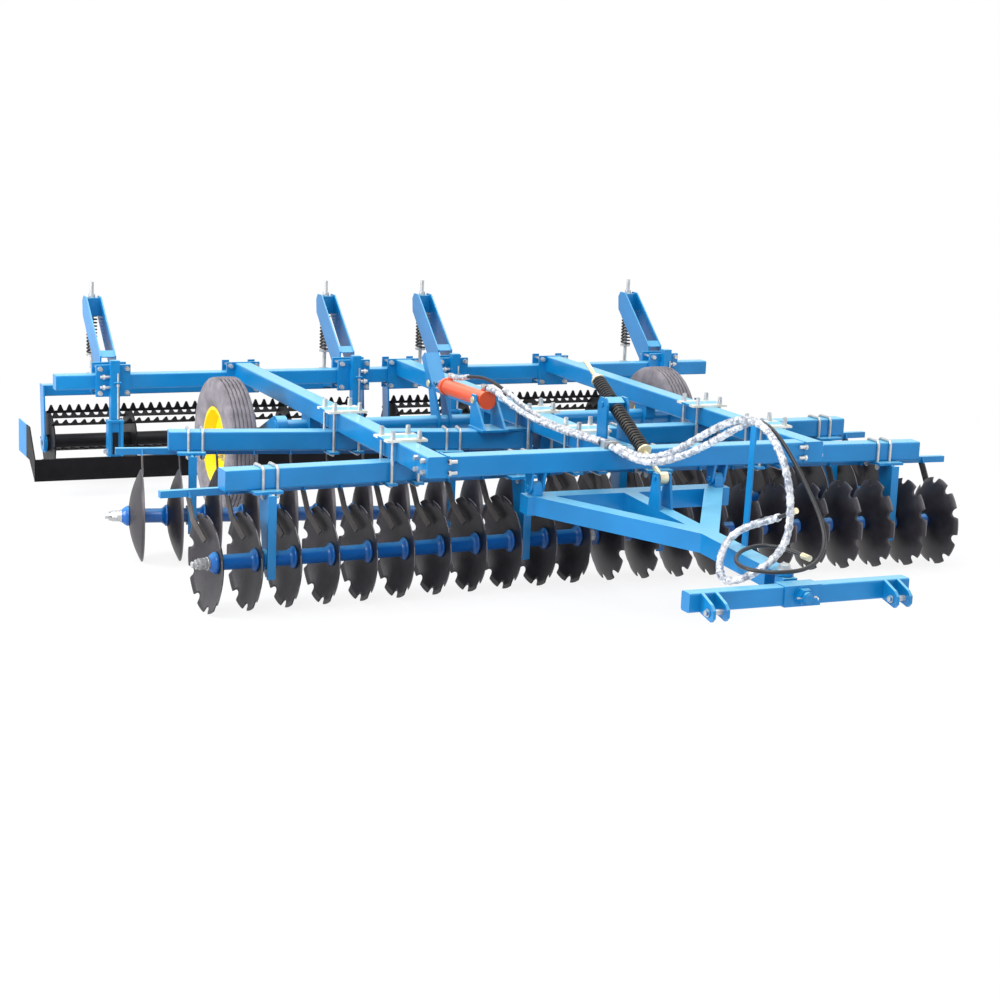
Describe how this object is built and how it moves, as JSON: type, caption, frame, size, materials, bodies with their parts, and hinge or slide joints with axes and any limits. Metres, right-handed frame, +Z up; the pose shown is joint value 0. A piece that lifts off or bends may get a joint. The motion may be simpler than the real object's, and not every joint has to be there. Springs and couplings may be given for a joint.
{
  "type": "trailed disc harrow",
  "caption": "Trailed tandem disc harrow: notched front and plain rear disc gangs, a lift wheel pair, sprung drawbar with a cross-bar hitch, and toothed cage rollers behind.",
  "frame": {"origin": "on the ground under the middle of the outline", "axes": "+X to the right seen from the hitch end, +Y to the rear, +Z up"},
  "size_m": [5.44, 6.56, 1.42],
  "materials": {
    "blue_paint": "gloss enamel",
    "orange_paint": "gloss enamel",
    "yellow_paint": "gloss enamel",
    "black_paint": "satin",
    "disc_steel": "satin black over steel",
    "zinc_steel": "zinc plated",
    "chrome": "polished",
    "tyre": "matt",
    "hose": "matt"
  },
  "bodies": {
    "frame": {"longitudinal_left": "blue_paint", "longitudinal_centre": "blue_paint", "longitudinal_right": "blue_paint", "front_cross_beam": "blue_paint", "rear_beam": "blue_paint", "gang_beams_front": "blue_paint", "gang_beams_rear": "blue_paint", "hangers_front": "blue_paint", "hangers_rear": "blue_paint", "scrapers_front": "black_paint", "scrapers_rear": "black_paint", "clamps_front": "zinc_steel", "clamps_rear": "zinc_steel", "shaft_bearings": "blue_paint", "cylinder_bracket": "blue_paint", "trunnion_lugs": "blue_paint", "masts": "blue_paint", "down_rods": "zinc_steel", "down_springs": "blue_paint", "board_posts": "black_paint", "levelling_board_left": "black_paint", "levelling_board_right": "black_paint", "roller_frame_left": "blue_paint", "roller_frame_right": "blue_paint", "hose_rod_rear": "hose", "hose_cap_rear": "hose", "hose_unions": "zinc_steel"},
    "gang_front_left": {"discs_front_left": "disc_steel", "spools_front_left": "blue_paint"},
    "gang_front_right": {"discs_front_right": "disc_steel", "spools_front_right": "blue_paint"},
    "gang_rear_left": {"discs_rear_left": "disc_steel", "spools_rear_left": "blue_paint"},
    "gang_rear_right": {"discs_rear_right": "disc_steel", "spools_rear_right": "blue_paint"},
    "rockshaft": {"rockshaft": "blue_paint"},
    "wheel_left": {"tyre_left": "tyre", "rim_left": "yellow_paint"},
    "wheel_right": {"tyre_right": "tyre", "rim_right": "yellow_paint"},
    "cylinder_barrel": {"cylinder_barrel": "orange_paint"},
    "cylinder_rod": {"cylinder_rod": "chrome"},
    "drawbar": {"drawbar": "blue_paint", "hose_post": "blue_paint", "hose_rod_front": "hose", "hose_cap_front": "hose", "hose_rod_coupling": "zinc_steel", "hose_cap_coupling": "zinc_steel"},
    "trunnion": {"trunnion_block": "blue_paint"},
    "levelling_rod": {"levelling_rod": "zinc_steel", "levelling_spring_lower": "blue_paint", "levelling_spring_upper": "blue_paint"},
    "hitch_swivel": {"swivel_block": "blue_paint"},
    "hitch_bar": {"hitch_bar": "blue_paint"},
    "roller_left": {"roller_left": "black_paint"},
    "roller_right": {"roller_right": "black_paint"}
  },
  "joints": [
    {"name": "front_left_spin", "type": "hinge", "parent": "frame", "child": "gang_front_left", "pos_m": [-1.19166, -0.78807, 0.28], "axis": [-0.9981, -0.061, 0], "continuous": true},
    {"name": "front_right_spin", "type": "hinge", "parent": "frame", "child": "gang_front_right", "pos_m": [1.19166, -0.78807, 0.28], "axis": [0.9981, -0.061, 0], "continuous": true},
    {"name": "rear_left_spin", "type": "hinge", "parent": "frame", "child": "gang_rear_left", "pos_m": [-1.19913, 0.2149, 0.28], "axis": [-0.9848, 0.1736, 0], "continuous": true},
    {"name": "rear_right_spin", "type": "hinge", "parent": "frame", "child": "gang_rear_right", "pos_m": [1.20156, 0.02596, 0.28], "axis": [0.9998, 0.0175, 0], "continuous": true},
    {"name": "lift", "type": "hinge", "parent": "frame", "child": "rockshaft", "pos_m": [0, 0.92, 0.706], "axis": [-1, 0, 0], "range_deg": [0, 30]},
    {"name": "wheel_left_spin", "type": "hinge", "parent": "rockshaft", "child": "wheel_left", "pos_m": [-1.625, 1.478, 0.498], "axis": [1, 0, 0], "continuous": true},
    {"name": "wheel_right_spin", "type": "hinge", "parent": "rockshaft", "child": "wheel_right", "pos_m": [1.625, 1.478, 0.498], "axis": [1, 0, 0], "continuous": true},
    {"name": "barrel_tilt", "type": "hinge", "parent": "frame", "child": "cylinder_barrel", "pos_m": [-0.3, 0.228, 0.969], "axis": [-1, 0, 0], "range_deg": [-0.1, 5.5], "deforming": ["hose_rod_rear", "hose_cap_rear"]},
    {"name": "rod_stroke", "type": "slide", "parent": "cylinder_barrel", "child": "cylinder_rod", "axis": [0, 0.9998, -0.0197], "range_m": [-0.0005, 0.118]},
    {"name": "drawbar_pitch", "type": "hinge", "parent": "frame", "child": "drawbar", "pos_m": [0, -1.21, 0.7], "axis": [1, 0, 0], "range_deg": [-6, 8], "deforming": ["hose_rod_front", "hose_cap_front"]},
    {"name": "trunnion_tilt", "type": "hinge", "parent": "frame", "child": "trunnion", "pos_m": [0, -0.985, 1.128], "axis": [1, 0, 0], "range_deg": [-2.8, 3.7]},
    {"name": "levelling_slide", "type": "slide", "parent": "trunnion", "child": "levelling_rod", "axis": [0, 0.8961, 0.4439], "range_m": [-0.0395, 0.0296], "deforming": ["levelling_spring_lower", "levelling_spring_upper"]},
    {"name": "hitch_yaw", "type": "hinge", "parent": "drawbar", "child": "hitch_swivel", "pos_m": [0, -2.97123, 0.5343], "axis": [0, -0.0384, 0.9993], "range_deg": [-35, 35], "deforming": ["hose_rod_front", "hose_cap_front"]},
    {"name": "hitch_roll", "type": "hinge", "parent": "hitch_swivel", "child": "hitch_bar", "pos_m": [0, -3.11, 0.506], "axis": [0, 1, 0], "range_deg": [-15, 15], "deforming": ["hose_rod_front", "hose_cap_front"]},
    {"name": "roller_left_spin", "type": "hinge", "parent": "frame", "child": "roller_left", "pos_m": [-1.31, 3.005, 0.275], "axis": [1, 0, 0], "continuous": true},
    {"name": "roller_right_spin", "type": "hinge", "parent": "frame", "child": "roller_right", "pos_m": [1.31, 3.005, 0.275], "axis": [1, 0, 0], "continuous": true}
  ],
  "couplings": [
    {"joint": "barrel_tilt", "follows": "lift", "ratio": 0.1795},
    {"joint": "rod_stroke", "follows": "lift", "m_per_rad": 0.2235},
    {"joint": "trunnion_tilt", "follows": "drawbar_pitch", "ratio": 0.45},
    {"joint": "levelling_slide", "follows": "drawbar_pitch", "m_per_rad": -0.28}
  ]
}
